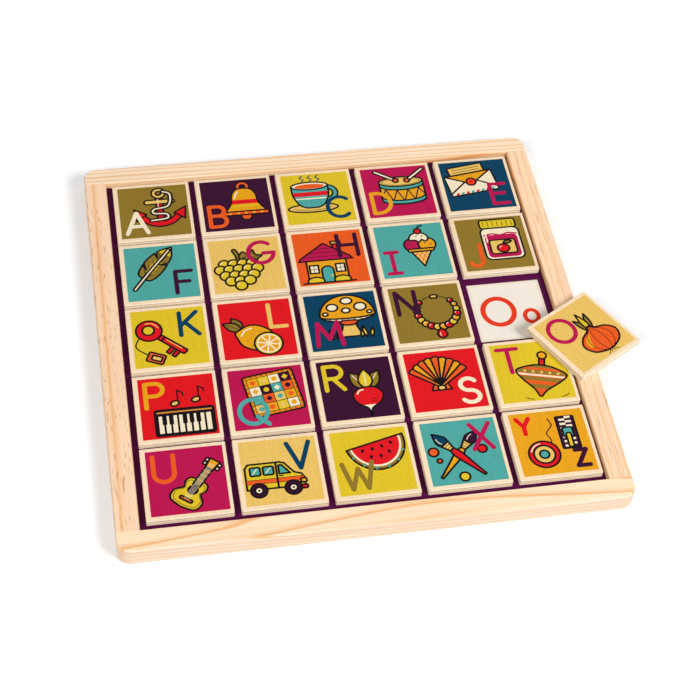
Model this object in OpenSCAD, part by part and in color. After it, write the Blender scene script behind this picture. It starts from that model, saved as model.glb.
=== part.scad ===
// Alphabet puzzle: a shallow pine tray with a printed board in it, and a set of square plywood tiles.
// Millimetres. The origin is the middle of the tray, on the surface that it stands on.
// +Z is up, +X is to the reader's right, and the reader sits on the -Y side.

/* [Tiles] */
// Side of a square tile
tile_w = 50; // [40:0.5:60]
// Thickness of a tile
tile_t = 4.5; // [3:0.25:7]
// Radius of a tile's upright corners
tile_corner_r = 0.8; // [0.4:0.1:4]
// Bevel on a tile's top and bottom edges
tile_bevel = 0.25; // [0.1:0.05:0.8]
// Gap between neighbouring places for tiles
tile_gap = 3.5; // [3:0.25:8]
// Gap between the outer places and the rails
edge_gap = 4.25; // [3:0.25:8]
// How far the seated tiles lie to the right of their places
tile_shift = 0.9; // [-2:0.1:2]
// How far the seated tiles lie behind their places
tile_back = 0.5; // [-2:0.1:2]
// How much wider apart the seated columns lie than their places
tile_spread = 0.6; // [0:0.05:0.8]

/* [Frame] */
// Width of a rail, seen from above
rail_w = 14; // [13:0.5:20]
// Height of a rail
rail_h = 13; // [12:0.5:20]
// Depth of the tray, from the top of the rails down to the printed sheet
tray_depth = 4.5; // [3:0.25:6]
// Radius of the frame's upright outer corners
corner_r = 8; // [4:0.5:10]
// Rounding of the frame's outer edges
edge_r = 1.2; // [0.4:0.1:2]
// Bevel on the frame's inner edges
inner_bevel = 0.5; // [0.2:0.1:1]

/* [Board] */
// Thickness of the board
board_t = 3; // [2:0.25:4]
// Depth of the groove that holds the board's edge
groove_depth = 5; // [3:0.5:6]
// Room between the board's edge and the bottom of the groove
board_clear = 0.5; // [0.2:0.1:1]
// Room over the board in the groove
groove_play = 0.1; // [0.05:0.05:0.3]
// Thickness of the printed sheet on the board
sheet_t = 0.3; // [0.2:0.05:0.6]
// Room between the printed sheet and the rails
sheet_clear = 0.2; // [0.1:0.05:0.5]

/* [Corner joints] */
// Diameter of a corner dowel
dowel_d = 4; // [3:0.25:5]
// Length of a corner dowel, half in each rail
dowel_len = 16; // [12:0.5:20]
// Room round a dowel for glue
dowel_clear = 0.1; // [0.05:0.05:0.2]
// Room for glue at each end of a dowel
dowel_end_clear = 0.3; // [0.1:0.1:1]

/* [Loose tile] */
// How far the loose tile's middle lies outside the middle of the right rail
loose_out = 4; // [-4:0.25:5]
// Where the loose tile's middle lies along the right rail
loose_y = -31.2; // [-60:0.1:60]
// Turn of the loose tile, in degrees
loose_turn = 30; // [0:0.5:89.5]

/* [Hidden] */
$fn = 64;
// Overlap that carries a cut past the surface it starts from
past = 1;

// The places for tiles: five rows of five, read from the back left
count = 5;
LETTERS = ["A", "B", "C", "D", "E", "F", "G", "H", "I", "J", "K", "L", "M",
           "N", "O", "P", "Q", "R", "S", "T", "U", "V", "W", "X", "YZ"];
LOOSE = "O";

// Colours of the printed tile faces
OLIVE = "#8B752D";
PLUM = "#2F0F37";
LIME = "#D7C32D";
MAGENTA = "#B21B55";
NAVY = "#003E61";
TEAL = "#4BA5A5";
SAND = "#E6C369";
ORANGE = "#EB5A23";
RED = "#DE1E28";
AMBER = "#E8A523";
TILE_COLOURS = [OLIVE, PLUM, LIME, MAGENTA, NAVY,
                TEAL, SAND, ORANGE, TEAL, OLIVE,
                LIME, RED, NAVY, OLIVE, SAND,
                RED, MAGENTA, PLUM, RED, LIME,
                MAGENTA, SAND, LIME, TEAL, AMBER];
PINE = "#F2D2A8";
BOARD = "#C9A271";
SHEET = "#4B1455";
DOWEL = "#D9B482";

pitch = tile_w + tile_gap;
opening = count * tile_w + (count - 1) * tile_gap + 2 * edge_gap;
half_open = opening / 2;
half_out = half_open + rail_w;
sheet_top = rail_h - tray_depth;
board_top = sheet_top - sheet_t;
board_low = board_top - board_t;
// A loose tile lies on the rails or on the seated tiles, whichever are higher
loose_z = max(rail_h, sheet_top + tile_t);
// The dowels run in the solid wood outside the board's groove
dowel_x = half_open + (groove_depth + rail_w) / 2;

// A square with round corners, about the origin
module rounded_square(side, radius) {
    square([side, side - 2 * radius], center = true);
    square([side - 2 * radius, side], center = true);
    for (x = [-1, 1], y = [-1, 1])
        translate([x, y] * (side / 2 - radius)) circle(radius);
}

// The outer edge of a rail in section: its two outer corners are round
module edge_section(width) {
    square([width - edge_r, rail_h]);
    translate([0, edge_r]) square([width, rail_h - 2 * edge_r]);
    for (z = [edge_r, rail_h - edge_r])
        translate([width - edge_r, z]) circle(edge_r);
}

// The whole frame before its opening is cut: a slab with round corners and eased edges
module slab() {
    straight = half_out - corner_r;
    translate([-straight, -straight, 0]) cube([2 * straight, 2 * straight, rail_h]);
    for (turn = [0 : 90 : 270]) rotate(turn) {
        translate([straight, straight, 0]) rotate([90, 0, 0])
            linear_extrude(2 * straight) edge_section(corner_r);
        translate([straight, straight, 0])
            rotate_extrude(angle = 90) edge_section(corner_r);
    }
}

// Section of the opening, which flares at the top and at the bottom
module opening_section() {
    flare = inner_bevel + past;
    polygon([[-half_open - flare, -past], [half_open + flare, -past],
             [half_open, inner_bevel], [half_open, rail_h - inner_bevel],
             [half_open + flare, rail_h + past], [-half_open - flare, rail_h + past],
             [-half_open, rail_h - inner_bevel], [-half_open, inner_bevel]]);
}

// The square opening of the frame, with bevelled edges
module opening_cut() {
    length = opening + 4 * (inner_bevel + past);
    intersection() {
        rotate([90, 0, 0]) linear_extrude(length, center = true) opening_section();
        rotate([90, 0, 90]) linear_extrude(length, center = true) opening_section();
    }
}

// The groove that holds the board, cut into all four rails at one height
module groove_cut() {
    side = opening + 2 * groove_depth;
    translate([-side / 2, -side / 2, board_low]) cube([side, side, board_t + groove_play]);
}

// One pin at each corner joint, or the hole for it
module at_corner_joints(diameter, length) {
    for (x = [-1, 1], y = [-1, 1])
        translate([x * dowel_x, y * half_open, rail_h / 2]) rotate([90, 0, 0])
            cylinder(d = diameter, h = length, center = true);
}

// The part of the frame that lies between two corners of a box seen from above
module rail(low, high) {
    difference() {
        intersection() {
            slab();
            translate([low.x, low.y, -past])
                cube([high.x - low.x, high.y - low.y, rail_h + 2 * past]);
        }
        opening_cut();
        groove_cut();
        at_corner_joints(dowel_d + 2 * dowel_clear, dowel_len + 2 * dowel_end_clear);
    }
}

// The front and back rails run the full width, and the side rails butt between them
module front_rail() {
    color(PINE) rail([-half_out - past, -half_out - past], [half_out + past, -half_open]);
}

module back_rail() {
    color(PINE) rail([-half_out - past, half_open], [half_out + past, half_out + past]);
}

module left_rail() {
    color(PINE) rail([-half_out - past, -half_open], [-half_open, half_open]);
}

module right_rail() {
    color(PINE) rail([half_open, -half_open], [half_out + past, half_open]);
}

// The board that closes the tray, held in the rails' groove
module base_board() {
    side = opening + 2 * (groove_depth - board_clear);
    color(BOARD) translate([-side / 2, -side / 2, board_low]) cube([side, side, board_t]);
}

// The printed sheet glued on the board
module printed_sheet() {
    side = opening - 2 * sheet_clear;
    color(SHEET) translate([-side / 2, -side / 2, board_top]) cube([side, side, sheet_t]);
}

// The dowels that pin the four corner joints
module corner_dowels() {
    color(DOWEL) at_corner_joints(dowel_d, dowel_len);
}

// Section of a tile, with its four long edges bevelled
module tile_section() {
    half = tile_w / 2;
    polygon([[-half + tile_bevel, 0], [half - tile_bevel, 0],
             [half, tile_bevel], [half, tile_t - tile_bevel],
             [half - tile_bevel, tile_t], [-half + tile_bevel, tile_t],
             [-half, tile_t - tile_bevel], [-half, tile_bevel]]);
}

// One tile, standing on the origin
module tile_blank() {
    intersection() {
        linear_extrude(tile_t) rounded_square(tile_w, tile_corner_r);
        rotate([90, 0, 0]) linear_extrude(tile_w + 2 * past, center = true) tile_section();
        rotate([90, 0, 90]) linear_extrude(tile_w + 2 * past, center = true) tile_section();
    }
}

// The tile with the given number, in its place in the tray or lying loose on the right rail
module tile(number) {
    column = number % count - (count - 1) / 2;
    row = (count - 1) / 2 - floor(number / count);
    color(TILE_COLOURS[number])
        if (LETTERS[number] == LOOSE)
            translate([half_open + rail_w / 2 + loose_out, loose_y, loose_z])
                rotate(loose_turn) tile_blank();
        else
            translate([column * (pitch + tile_spread) + tile_shift, row * pitch + tile_back, sheet_top])
                tile_blank();
}

front_rail();
back_rail();
left_rail();
right_rail();
base_board();
printed_sheet();
corner_dowels();
for (number = [0 : len(LETTERS) - 1])
    tile(number);
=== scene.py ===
"""Looks of an alphabet tray puzzle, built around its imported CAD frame.

Blender's lengths are metres. Letters and pictures are drawn in millimetres, about the middle of a tile's
print or of the floor, with x to the reader's right and y away from the reader.
"""
import math
from functools import partial

import bpy
from mathutils import Euler, Matrix, Vector


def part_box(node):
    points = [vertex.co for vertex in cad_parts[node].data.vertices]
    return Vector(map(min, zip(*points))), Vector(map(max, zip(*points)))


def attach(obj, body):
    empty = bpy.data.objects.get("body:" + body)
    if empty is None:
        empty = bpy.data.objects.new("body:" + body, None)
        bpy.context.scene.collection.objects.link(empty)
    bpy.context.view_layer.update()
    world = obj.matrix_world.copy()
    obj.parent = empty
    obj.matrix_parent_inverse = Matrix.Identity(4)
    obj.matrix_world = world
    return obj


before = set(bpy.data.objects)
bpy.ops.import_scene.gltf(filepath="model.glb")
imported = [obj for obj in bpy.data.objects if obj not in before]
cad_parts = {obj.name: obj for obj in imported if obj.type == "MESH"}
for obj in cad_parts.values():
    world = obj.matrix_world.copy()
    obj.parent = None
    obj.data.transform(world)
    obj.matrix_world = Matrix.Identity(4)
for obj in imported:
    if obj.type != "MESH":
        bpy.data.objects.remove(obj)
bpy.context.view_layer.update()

bl_info = {
    "name": "Alphabet puzzle",
    "version": (1, 0, 0),
    "blender": (4, 5, 0),
    "location": "3D View > Sidebar > Puzzle",
    "description": "Wood, printed floor, printed tiles and studio for a tray puzzle of letters",
    "category": "Object",
}

MM = 0.001
# Tiles along a side of the tray, the letters on the tiles in reading order, and those on the loose tile
COUNT = 5
LETTERS = [*"ABCDEFGHIJKLMNOPQRSTUVWX", "YZ"]
LOOSE = "O"
# Heights and distances taken from the frame
FRAME_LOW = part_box("front_rail")[0].z
SHEET_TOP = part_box("printed_sheet")[1].z
TILE_LOW, TILE_HIGH = (corner.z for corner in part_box("tile_A"))
LOOSE_LOW, LOOSE_HIGH = (corner.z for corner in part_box("tile_" + LOOSE))
PLACE_PITCH = (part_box("tile_A")[0].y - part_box("tile_U")[0].y) / (COUNT - 1)


# Settings

def length(name, text, default):
    """A length that the user can change, in metres."""
    return bpy.props.FloatProperty(
        name=name, description=text, default=default, min=0, precision=5, unit="LENGTH", subtype="DISTANCE")


def colour(name, text, red, green, blue):
    """A colour that the user can change, given as it shows on a screen."""
    return bpy.props.FloatVectorProperty(
        name=name, description=text, default=(red / 255, green / 255, blue / 255),
        size=3, min=0, max=1, subtype="COLOR_GAMMA")


def power(name, text, default):
    """The power of a lamp that the user can change, in watts."""
    return bpy.props.FloatProperty(name=name, description=text, default=default, min=0, unit="POWER")


def strength(name, text, default):
    """A strength from 0 to 1 that the user can change."""
    return bpy.props.FloatProperty(
        name=name, description=text, default=default, min=0, max=1, subtype="FACTOR")


class PuzzleWood(bpy.types.PropertyGroup):
    """Colours of the bare wood"""
    front_pine: colour("Front rail", "Pale wood of the front rail", 255, 227, 195)
    back_pine: colour("Back rail", "Pale wood of the back rail", 255, 232, 204)
    left_pine: colour("Left rail", "Pale wood of the left rail", 250, 216, 184)
    right_pine: colour("Right rail", "Pale wood of the right rail", 251, 217, 184)
    growth_line: colour("Growth lines", "Darker late wood of the pine", 240, 180, 118)
    pine_fleck: colour("Pine flecks", "Short resin flecks in the side rails", 176, 122, 78)
    ply_face: colour("Plywood face", "Bare face of a tile, round its print", 250, 222, 187)
    ply_edge: colour("Plywood edge", "Outer plies of a tile, seen on its edges", 255, 244, 222)
    ply_core: colour("Plywood core", "Inner ply of a tile, seen on its edges", 255, 234, 202)
    ply_glue: colour("Plywood glue line", "Line between two plies", 172, 129, 89)
    # Painted shade: a grey tone mixed into the front rail's outer face, darkening it against the top
    painted_face_shade: colour("Outer face", "Tone mixed into the front rail's outer face", 208, 203, 200)
    # Painted shade: a warm, darker tone multiplied over the rails' inner walls, standing in for shade in the
    # tray
    painted_wall_shade: colour("Inner walls", "Tone laid over the rails' inner walls", 249, 236, 219)
    board: colour("Board", "Back of the board that closes the tray", 201, 162, 113)
    dowel: colour("Dowel", "Pins in the corner joints", 217, 180, 130)


class PuzzleInks(bpy.types.PropertyGroup):
    """Printing inks, by name"""
    olive: colour("Olive", "Printing ink", 142, 115, 41)
    plum: colour("Plum", "Printing ink", 52, 8, 42)
    lime: colour("Lime", "Printing ink", 222, 191, 40)
    magenta: colour("Magenta", "Printing ink", 184, 20, 77)
    navy: colour("Navy", "Printing ink", 0, 59, 88)
    teal: colour("Teal", "Printing ink", 78, 164, 157)
    sand: colour("Sand", "Printing ink", 232, 191, 99)
    orange: colour("Orange", "Printing ink", 232, 90, 31)
    red: colour("Red", "Printing ink", 222, 22, 31)
    amber: colour("Amber", "Printing ink", 230, 160, 26)
    cream: colour("Cream", "Printing ink", 244, 228, 196)
    black: colour("Black", "Outlines of the pictures", 10, 5, 9)
    scarlet: colour("Scarlet", "Letters on the floor of the tray", 224, 57, 30)
    lattice: colour("Lattice", "Ground of the printed sheet", 78, 9, 63)
    place: colour("Place", "Pale square of each place", 238, 228, 215)


class PuzzlePrint(bpy.types.PropertyGroup):
    """Sizes of the printing"""
    side: length("Printed square", "Side of the printed square on a tile", 0.045)
    shift: length("Print shift", "How far the print lies to the right of a tile's middle", 0.0005)
    letter: length("Letter", "Height of a tile's letter, along the middle of its stroke", 0.018)
    stroke: length("Letter stroke", "Width of a tile's letter stroke", 0.0028)
    inset: length("Letter inset", "From the edge of the printed square to the middle of the stroke", 0.004)
    outline: length("Outline", "Width of the dark outline round the pictures", 0.00125)
    picture: length("Picture", "Longer side of a picture", 0.0365)
    offset: length("Picture offset", "How far a picture may stand away from its letter's corner", 0.0055)
    margin: length("Picture margin", "Least room between a picture and the edge of the print", 0.001)
    loose_turn: bpy.props.FloatProperty(
        name="Loose tile's turn", description="Turn of the loose tile on the rail",
        default=math.radians(30), subtype="ANGLE", unit="ROTATION")
    place_side: length("Place", "Side of a pale square on the floor", 0.047)
    place_shift: length("Place shift", "How far the places are printed to the right of the middle", 0.0014)
    place_radius: length("Place corner", "Corner radius of a pale square", 0.0005)
    place_thick: length("Place thickness", "Thickness of the pale ink", 0.00002)
    capital: length("Floor capital", "Height of a capital on the floor", 0.0216)
    floor_stroke: length("Floor stroke", "Width of a capital's strokes on the floor", 0.0034)


# Width of the camera's sensor
SENSOR_MM = 36


class PuzzleStage(bpy.types.PropertyGroup):
    """Camera and studio light"""
    camera_place: bpy.props.FloatVectorProperty(
        name="Camera", description="Where the camera stands",
        default=(-0.1397, -0.63823, 0.79135), size=3, subtype="TRANSLATION", unit="LENGTH")
    camera_turn: bpy.props.FloatVectorProperty(
        name="Camera turn", description="Turn of the camera",
        default=[math.radians(angle) for angle in (38.951, -2.922, -9.326)], size=3, subtype="EULER")
    camera_lens: bpy.props.FloatProperty(
        name="Lens", description=f"Focal length on a sensor of {SENSOR_MM} mm",
        default=83.99, unit="CAMERA")
    left_power: power("Left light", "Power of the lamp at the front left", 32.0)
    right_power: power("Right light", "Power of the lamp at the front right", 48.5)
    back_power: power("Back light", "Power of the lamp behind", 3.1)
    ambient: strength("Ambient light", "Strength of the light from all round", 0.11)
    floor_lift: strength("Floor lift", "White added to the floor round the tray", 0.265)


# Drawing in the plane, in millimetres

# Points closer than this are one point, and the decimals to which the edge points of a line are told apart
TOUCH = 1e-6
DECIMALS = 4
# Thickness of one layer of ink, and of the first one on the wood or paper
LAYER = 0.003
GROUND = 0.01
# Width of the finest lines in the pictures
FINE = 0.4
# Degrees from one point of an arc to the next
ARC_STEP = 10
# Points that a smooth line has from one knot to the next
CURVE_STEPS = 6
# Points along a side of a leaf, and a power below 1 that moves its widest part towards its foot
LEAF_STEPS = 10
LEAF_BELLY = 0.85
# Directions of the points of a stroke's round end
CAP_TURNS = [math.radians(angle) for angle in (0, 22.5, 45, 67.5, 90)]
# A stroke's outer corner is round from this turn on, with a point at each step
ROUND_FROM = math.radians(40)
ROUND_STEP = math.radians(20)
# Least cosine of half a turn, which limits how far the inner corner of a sharp one reaches
LEAST_COSINE = 0.2
# How far the fibres under two prints lie apart, for each length between the prints
FIBRE_SPREAD = 3


def heading(start, end):
    """Direction from one point to another, in radians."""
    return math.atan2(end[1] - start[1], end[0] - start[0])


def step(point, angle, distance):
    """The point at a distance from another, in a direction in radians."""
    return (point[0] + distance * math.cos(angle), point[1] + distance * math.sin(angle))


def arc(x, y, rx, ry, start, end):
    """Points along an ellipse, between two angles in degrees."""
    count = max(2, round(abs(end - start) / ARC_STEP))
    turns = [math.radians(start + (end - start) * i / count) for i in range(count + 1)]
    return [(x + rx * math.cos(turn), y + ry * math.sin(turn)) for turn in turns]


def oval(x, y, rx, ry=None):
    """A whole ellipse, or a circle."""
    return arc(x, y, rx, ry or rx, 0, 360)[:-1]


def box(left, low, right, high, radius=0):
    """A rectangle, with round corners if a radius is given."""
    if not radius:
        return [(left, low), (right, low), (right, high), (left, high)]
    corners = [(right - radius, high - radius, 0), (left + radius, high - radius, 90),
               (left + radius, low + radius, 180), (right - radius, low + radius, 270)]
    return [point for x, y, turn in corners for point in arc(x, y, radius, radius, turn, turn + 90)]


def curve(knots, closed=False):
    """A smooth line through the given points."""
    count = len(knots)
    points = []
    for i in range(count if closed else count - 1):
        if closed:
            a, b, c, d = (Vector(knots[(i + k) % count]) for k in (-1, 0, 1, 2))
        else:
            a, b, c, d = (Vector(knots[min(max(i + k, 0), count - 1)]) for k in (-1, 0, 1, 2))
        for j in range(CURVE_STEPS):
            t = j / CURVE_STEPS
            bend = (2 * a - 5 * b + 4 * c - d) * t ** 2 + (3 * b - a - 3 * c + d) * t ** 3
            points.append(tuple(b + ((c - a) * t + bend) / 2))
    return points if closed else points + [tuple(knots[-1])]


def mirrored(half):
    """A closed outline from its right half, given from top to bottom."""
    return half + [(-x, y) for x, y in reversed(half) if abs(x) > TOUCH]


def moved(points, dx=0, dy=0, turn=0, scale=1):
    """Points turned by degrees about the origin, scaled and then shifted."""
    cosine, sine = math.cos(math.radians(turn)) * scale, math.sin(math.radians(turn)) * scale
    return [(dx + x * cosine - y * sine, dy + x * sine + y * cosine) for x, y in points]


def leaf(x, y, size, width, turn):
    """A pointed leaf that grows from a point, in a direction in degrees."""
    shares = [i / LEAF_STEPS for i in range(LEAF_STEPS + 1)]
    edge = [(size * share, width * math.sin(math.pi * share ** LEAF_BELLY)) for share in shares]
    lower = [(px, -py) for px, py in reversed(edge[1:-1])]
    return moved(edge + lower, x, y, turn)


def band(profile, top, low):
    """The part of a turned shape between two heights. The profile is its right half, from the top."""
    def half_width(height):
        """Half the width of the shape at a height."""
        for (x0, y0), (x1, y1) in zip(profile, profile[1:]):
            if y1 <= height <= y0 and y0 > y1:
                return x0 + (x1 - x0) * (y0 - height) / (y0 - y1)
        raise ValueError("a band reaches past its profile")
    inside = [(x, y) for x, y in profile if low < y < top]
    return mirrored([(half_width(top), top), *inside, (half_width(low), low)])


def signed_area(outline):
    """Area of an outline, positive where it runs anticlockwise."""
    return sum(x0 * y1 - x1 * y0 for (x0, y0), (x1, y1) in zip(outline, outline[1:] + outline[:1])) / 2


def stroke_pairs(path, half, closed):
    """Left and right edge points along a stroke, with round ends and round outer corners."""
    count = len(path)
    quarter = math.pi / 2
    pairs = []
    for i, here in enumerate(path):
        first, last = not closed and i == 0, not closed and i == count - 1
        inward = None if first else heading(path[i - 1], here)
        outward = None if last else heading(here, path[(i + 1) % count])
        if first:
            back = outward + math.pi
            pairs += [(step(here, back - cap, half), step(here, back + cap, half)) for cap in CAP_TURNS]
            continue
        if last:
            caps = reversed(CAP_TURNS)
            pairs += [(step(here, inward + cap, half), step(here, inward - cap, half)) for cap in caps]
            continue
        turn = (outward - inward + math.pi) % math.tau - math.pi
        middle = inward + turn / 2
        reach = half / max(math.cos(turn / 2), LEAST_COSINE)
        if abs(turn) < ROUND_FROM:
            pairs.append((step(here, middle + quarter, reach), step(here, middle - quarter, reach)))
            continue
        side = 1 if turn > 0 else -1
        inner = step(here, middle + side * quarter, reach)
        fan = max(2, round(abs(turn) / ROUND_STEP))
        for j in range(fan + 1):
            outer = step(here, inward + turn * j / fan - side * quarter, half)
            pairs.append((inner, outer) if side > 0 else (outer, inner))
    return pairs


class Artwork:
    """Flat printed shapes, each later one lying a hair above those before it."""

    def __init__(self, outline_mm):
        self.outline_mm = outline_mm
        self.corners = []
        self.faces = []
        self.face_inks = []
        self.inks = []
        self.layer = 0
        self.where = {}

    def set_place(self, dx=0, dy=0, turn=0, scale=1):
        """Shift, turn and scale for what is drawn next."""
        self.where = {"dx": dx, "dy": dy, "turn": turn, "scale": scale}

    def slab(self, points, cells, borders, ink):
        """One closed layer of ink: its cells run anticlockwise, and the outside is right of its borders."""
        height = GROUND + LAYER * self.layer
        self.layer += 1
        if ink not in self.inks:
            self.inks.append(ink)
        low = len(self.corners)
        high = low + len(points)
        self.corners += [(x, y, z) for z in (0, height) for x, y in points]
        faces = [[high + i for i in cell] for cell in cells]
        faces += [[low + i for i in reversed(cell)] for cell in cells]
        faces += [(low + i, low + j, high + j, high + i) for i, j in borders]
        self.faces += faces
        self.face_inks += [self.inks.index(ink)] * len(faces)

    def fill(self, outline, ink):
        """A shape of one ink."""
        points = moved(outline, **self.where)
        if signed_area(points) < 0:
            points.reverse()
        count = len(points)
        self.slab(points, [range(count)], [(i, (i + 1) % count) for i in range(count)], ink)

    def line(self, path, ink="black", width=None, closed=False):
        """A line of one ink, with round ends."""
        pairs = stroke_pairs(moved(path, **self.where), (width or self.outline_mm) / 2, closed)
        numbers = {}
        points = []

        def number(point):
            """The number of a point, which is a new one only where no other point lies."""
            key = tuple(round(at, DECIMALS) for at in point)
            if key not in numbers:
                numbers[key] = len(points)
                points.append(point)
            return numbers[key]

        rungs = [(number(left), number(right)) for left, right in pairs]
        cells, borders = [], []
        following = rungs[1:] + rungs[:1] if closed else rungs[1:]
        for (left, right), (next_left, next_right) in zip(rungs, following):
            cell = list(dict.fromkeys((left, right, next_right, next_left)))
            if len(cell) > 2:
                cells.append(cell)
            if left != next_left:
                borders.append((next_left, left))
            if right != next_right:
                borders.append((right, next_right))
        self.slab(points, cells, borders, ink)

    def shape(self, outline, ink):
        """A shape with a dark outline."""
        self.fill(outline, ink)
        self.line(outline, closed=True)

    def bars(self, paths, ink, width, closed=False):
        """Thick lines that share one dark outline."""
        for path in paths:
            self.line(path, "black", width + 2 * self.outline_mm, closed)
        for path in paths:
            self.line(path, ink, width, closed)

    def build(self, name, place, materials):
        """The drawing as one object, with its own map for the fibres in the ink."""
        mesh = bpy.data.meshes.new(name)
        corners = [Vector(corner) * MM for corner in self.corners]
        mesh.from_pydata([place @ corner for corner in corners], [], self.faces)
        for ink in self.inks:
            mesh.materials.append(materials[ink])
        mesh.polygons.foreach_set("material_index", self.face_inks)
        fibres = mesh.uv_layers.new(name="fibres")
        shift = FIBRE_SPREAD * place.translation
        for loop in mesh.loops:
            fibres.data[loop.index].uv = (corners[loop.vertex_index] + shift).xy
        mesh.update()
        piece = bpy.data.objects.new(name, mesh)
        bpy.context.scene.collection.objects.link(piece)
        return piece


# Letters: strokes on a capital's height of 1

BOWL = arc(0.3, 0.31, 0.27, 0.31, 0, 360)
STEM = [(0, 0), (0, 1)]
P_BOWL = [(0, 1), *arc(0.32, 0.74, 0.26, 0.26, 90, -90), (0, 0.48)]
ROUND = arc(0.46, 0.5, 0.46, 0.5, 0, 360)

CAPITALS = {
    "A": [[(0, 0), (0.37, 1), (0.74, 0)], [(0.13, 0.34), (0.61, 0.34)]],
    "B": [STEM, [(0, 1), *arc(0.3, 0.765, 0.23, 0.235, 90, -90), (0, 0.53)],
          [(0, 0.53), *arc(0.32, 0.265, 0.265, 0.265, 90, -90), (0, 0)]],
    "C": [arc(0.44, 0.5, 0.44, 0.5, 48, 312)],
    "D": [STEM, [(0, 1), *arc(0.18, 0.5, 0.48, 0.5, 90, -90), (0, 0)]],
    "E": [[(0.56, 1), (0, 1), (0, 0), (0.58, 0)], [(0, 0.52), (0.48, 0.52)]],
    "F": [[(0.56, 1), (0, 1), (0, 0)], [(0, 0.52), (0.46, 0.52)]],
    "G": [arc(0.45, 0.5, 0.45, 0.5, 50, 354), [(0.53, 0.46), (0.9, 0.46)]],
    "H": [STEM, [(0.66, 0), (0.66, 1)], [(0, 0.51), (0.66, 0.51)]],
    "I": [[(0.22, 0), (0.22, 1)], [(0, 1), (0.44, 1)], [(0, 0), (0.44, 0)]],
    "J": [[(0.46, 1), *arc(0.23, 0.24, 0.23, 0.24, 0, -165)]],
    "K": [STEM, [(0.58, 1), (0.02, 0.42)], [(0.17, 0.57), (0.62, 0)]],
    "L": [[(0, 1), (0, 0), (0.54, 0)]],
    "M": [[(0, 0), (0.1, 1), (0.44, 0.28), (0.78, 1), (0.88, 0)]],
    "N": [[(0, 0), (0, 1), (0.66, 0), (0.66, 1)]],
    "O": [ROUND],
    "P": [STEM, P_BOWL],
    "Q": [ROUND, [(0.58, 0.28), (0.92, -0.06)]],
    "R": [STEM, P_BOWL, [(0.26, 0.48), (0.6, 0)]],
    "S": [[*arc(0.31, 0.75, 0.27, 0.25, 32, 262), *arc(0.31, 0.25, 0.3, 0.25, 82, -150)]],
    "T": [[(0.35, 0), (0.35, 1)], [(0, 1), (0.7, 1)]],
    "U": [[(0, 1), *arc(0.33, 0.33, 0.33, 0.33, 180, 360), (0.66, 1)]],
    "V": [[(0, 1), (0.36, 0), (0.72, 1)]],
    "W": [[(0, 1), (0.24, 0), (0.49, 0.78), (0.74, 0), (0.98, 1)]],
    "X": [[(0, 0), (0.64, 1)], [(0.64, 0), (0, 1)]],
    "Y": [[(0, 1), (0.34, 0.48), (0.68, 1)], [(0.34, 0.48), (0.34, 0)]],
    "Z": [[(0.02, 1), (0.62, 1), (0, 0), (0.64, 0)]],
}

ARCH = [(0, 0.3), *arc(0.23, 0.36, 0.23, 0.26, 180, 0), (0.46, 0)]
SHORT = [(0, 0), (0, 0.62)]
TALL_RIGHT = [(0.57, 1), (0.57, 0)]

SMALL = {
    "a": [BOWL, [(0.57, 0.62), (0.57, 0)]],
    "b": [moved(BOWL, -0.03), STEM],
    "c": [arc(0.3, 0.31, 0.28, 0.31, 50, 310)],
    "d": [BOWL, TALL_RIGHT],
    "e": [[(0.04, 0.32), (0.57, 0.32), *arc(0.3, 0.31, 0.27, 0.31, 10, 312)]],
    "f": [[*arc(0.33, 0.78, 0.18, 0.22, 50, 180), (0.15, 0)], [(0, 0.6), (0.36, 0.6)]],
    "g": [BOWL, [(0.57, 0.62), *arc(0.31, -0.1, 0.26, 0.22, 0, -150)]],
    "h": [STEM, ARCH],
    "i": [SHORT],
    "j": [[(0.2, 0.62), *arc(0.02, -0.14, 0.18, 0.18, 0, -120)]],
    "k": [STEM, [(0.42, 0.6), (0.02, 0.22)], [(0.15, 0.34), (0.45, 0)]],
    "l": [STEM],
    "m": [SHORT, [(0, 0.3), *arc(0.2, 0.38, 0.2, 0.24, 180, 0), (0.4, 0)],
          [(0.4, 0.3), *arc(0.6, 0.38, 0.2, 0.24, 180, 0), (0.8, 0)]],
    "n": [SHORT, ARCH],
    "o": [BOWL],
    "p": [moved(BOWL, -0.03), [(0, 0.62), (0, -0.34)]],
    "q": [BOWL, [(0.57, 0.62), (0.57, -0.34)]],
    "r": [SHORT, [(0, 0.3), *arc(0.22, 0.38, 0.22, 0.24, 180, 45)]],
    "s": [[*arc(0.21, 0.465, 0.19, 0.155, 32, 262), *arc(0.21, 0.155, 0.21, 0.155, 82, -150)]],
    "t": [[(0.15, 0.9), *arc(0.32, 0.17, 0.17, 0.17, 180, 300)], [(0, 0.62), (0.36, 0.62)]],
    "u": [[(0, 0.62), *arc(0.23, 0.24, 0.23, 0.24, 180, 360)], [(0.46, 0.62), (0.46, 0)]],
    "v": [[(0, 0.62), (0.24, 0), (0.48, 0.62)]],
    "w": [[(0, 0.62), (0.18, 0), (0.37, 0.5), (0.56, 0), (0.74, 0.62)]],
    "x": [[(0, 0), (0.46, 0.62)], [(0.46, 0), (0, 0.62)]],
    "y": [[(0, 0.62), (0.25, 0.02)], [(0.5, 0.62), (0.11, -0.34)]],
    "z": [[(0.01, 0.62), (0.44, 0.62), (0, 0), (0.46, 0)]],
}
# Middles of the dots on small letters, and a dot's radius as a share of the stroke's width
DOTS = {"i": (0, 0.9), "j": (0.2, 0.9)}
DOT_RADIUS = 0.6


def glyph(letter):
    """Strokes of a letter, and its width."""
    strokes = CAPITALS.get(letter) or SMALL[letter]
    return strokes, max(x for stroke in strokes for x, y in stroke)


def draw_letter(art, letter, x, y, height, ink, width):
    """A letter whose left foot is at a point."""
    for stroke in glyph(letter)[0]:
        closed = math.dist(stroke[0], stroke[-1]) < TOUCH
        art.line(moved(stroke[:-1] if closed else stroke, x, y, 0, height), ink, width, closed)
    if letter in DOTS:
        dot_x, dot_y = DOTS[letter]
        art.fill(oval(x + dot_x * height, y + dot_y * height, width * DOT_RADIUS), ink)


# Pictures, about 30 mm on their longer side before they are scaled to the set size

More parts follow.
